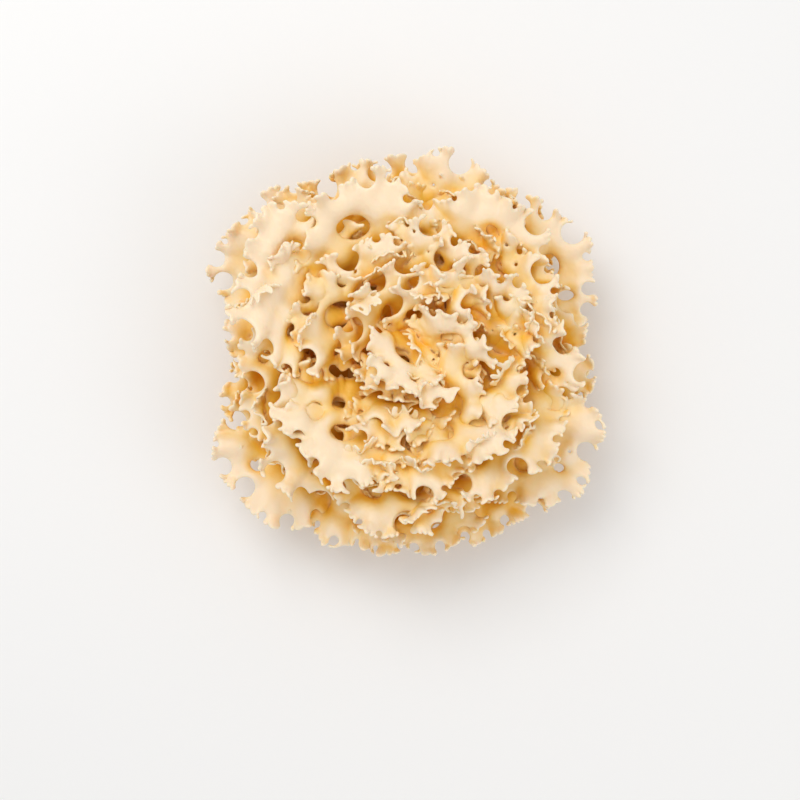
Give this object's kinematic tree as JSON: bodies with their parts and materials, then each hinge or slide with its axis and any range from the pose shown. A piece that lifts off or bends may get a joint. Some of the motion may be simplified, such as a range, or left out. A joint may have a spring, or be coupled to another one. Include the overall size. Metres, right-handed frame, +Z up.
{
  "type": "cauliflower mushroom",
  "caption": "Head of fresh cauliflower mushroom: ruffled, lobed fronds with bays and windows, grown from a short stem cut flat.",
  "frame": {"origin": "centre of the flat cut at the base of the stem", "axes": "+Z up from the cut base through the head, which is the side the picture looks down on; +Y towards the top of the picture; +X towards its right"},
  "size_m": [0.155, 0.1582, 0.0673],
  "materials": {
    "flesh": "waxy, slightly translucent ivory flesh, amber in the hollows and pale at the thin edges"
  },
  "bodies": {
    "root": {"cauliflower_mushroom": "flesh"}
  },
  "joints": []
}
